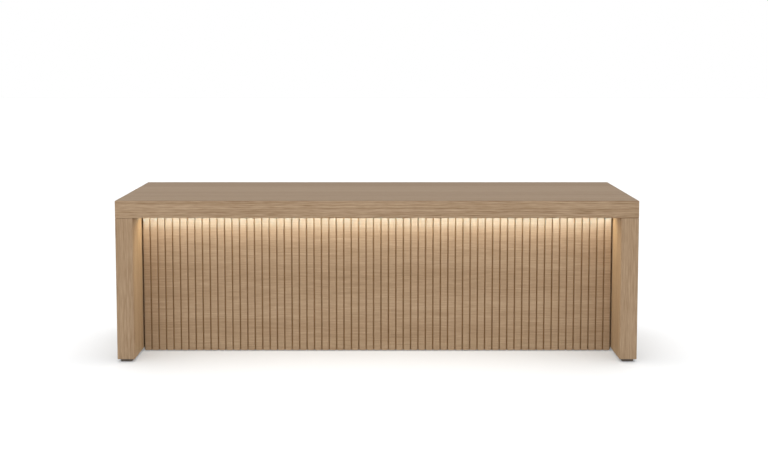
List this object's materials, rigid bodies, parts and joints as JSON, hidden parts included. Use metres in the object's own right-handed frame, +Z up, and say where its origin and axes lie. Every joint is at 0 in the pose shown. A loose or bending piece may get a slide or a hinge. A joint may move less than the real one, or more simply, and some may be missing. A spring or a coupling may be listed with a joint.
{
  "type": "reception desk",
  "caption": "Long reception desk with a thick worktop on two thick gables, a grooved wood front set back between them, a light line above it and screw-in levelling feet.",
  "frame": {"origin": "on the floor under the middle of the worktop", "axes": "+X along the desk, -Y towards the visitor, +Z up"},
  "size_m": [2.4, 0.8, 0.75],
  "materials": {
    "oak_veneer": "matt lacquered oak veneer, greyish brown",
    "core_board": "raw particle board",
    "beech": "plain beech dowel",
    "zinc_steel": "zinc-plated steel",
    "aluminium": "satin anodised",
    "light_tape": "white tape with light emitters",
    "opal_diffuser": "opal plastic, lit warm white",
    "grey_plastic": "moulded grey plastic",
    "white_plastic": "moulded white plastic",
    "black_plastic": "moulded black plastic on a steel stem"
  },
  "bodies": {
    "desk": {"backing_panel": "oak_veneer", "backing_worktop_bracket_1": "zinc_steel", "backing_worktop_bracket_2": "zinc_steel", "backing_worktop_bracket_3": "zinc_steel", "front_left_foot_insert": "zinc_steel", "front_right_foot_insert": "zinc_steel", "grooved_front_panel": "oak_veneer", "left_backing_bracket": "zinc_steel", "left_dowel_1": "beech", "left_dowel_2": "beech", "left_gable_bottom_rail": "core_board", "left_gable_front_lipping": "oak_veneer", "left_gable_front_rail": "core_board", "left_gable_inner_board": "oak_veneer", "left_gable_outer_board": "oak_veneer", "left_gable_rear_lipping": "oak_veneer", "left_gable_rear_rail": "core_board", "left_gable_top_rail": "core_board", "left_worktop_bracket_1": "zinc_steel", "left_worktop_bracket_2": "zinc_steel", "light_channel": "aluminium", "light_diffuser": "opal_diffuser", "light_driver": "white_plastic", "light_left_end_cap": "grey_plastic", "light_right_end_cap": "grey_plastic", "light_tape": "light_tape", "rear_left_foot_insert": "zinc_steel", "rear_right_foot_insert": "zinc_steel", "right_backing_bracket": "zinc_steel", "right_dowel_1": "beech", "right_dowel_2": "beech", "right_gable_bottom_rail": "core_board", "right_gable_front_lipping": "oak_veneer", "right_gable_front_rail": "core_board", "right_gable_inner_board": "oak_veneer", "right_gable_outer_board": "oak_veneer", "right_gable_rear_lipping": "oak_veneer", "right_gable_rear_rail": "core_board", "right_gable_top_rail": "core_board", "right_worktop_bracket_1": "zinc_steel", "right_worktop_bracket_2": "zinc_steel", "worktop_core_rib_1": "core_board", "worktop_core_rib_2": "core_board", "worktop_core_rib_3": "core_board", "worktop_front_lipping": "oak_veneer", "worktop_front_rail": "core_board", "worktop_left_lipping": "oak_veneer", "worktop_left_rail": "core_board", "worktop_rear_lipping": "oak_veneer", "worktop_rear_rail": "core_board", "worktop_right_lipping": "oak_veneer", "worktop_right_rail": "core_board", "worktop_top_board": "oak_veneer", "worktop_underside_board": "oak_veneer"},
    "front_left_foot": {"front_left_foot": "black_plastic"},
    "front_right_foot": {"front_right_foot": "black_plastic"},
    "rear_left_foot": {"rear_left_foot": "black_plastic"},
    "rear_right_foot": {"rear_right_foot": "black_plastic"}
  },
  "joints": [
    {"name": "front_left_foot_screw", "type": "slide", "parent": "desk", "child": "front_left_foot", "axis": [0, 0, -1], "range_m": [0, 0.015]},
    {"name": "front_right_foot_screw", "type": "slide", "parent": "desk", "child": "front_right_foot", "axis": [0, 0, -1], "range_m": [0, 0.015]},
    {"name": "rear_left_foot_screw", "type": "slide", "parent": "desk", "child": "rear_left_foot", "axis": [0, 0, -1], "range_m": [0, 0.015]},
    {"name": "rear_right_foot_screw", "type": "slide", "parent": "desk", "child": "rear_right_foot", "axis": [0, 0, -1], "range_m": [0, 0.015]}
  ]
}
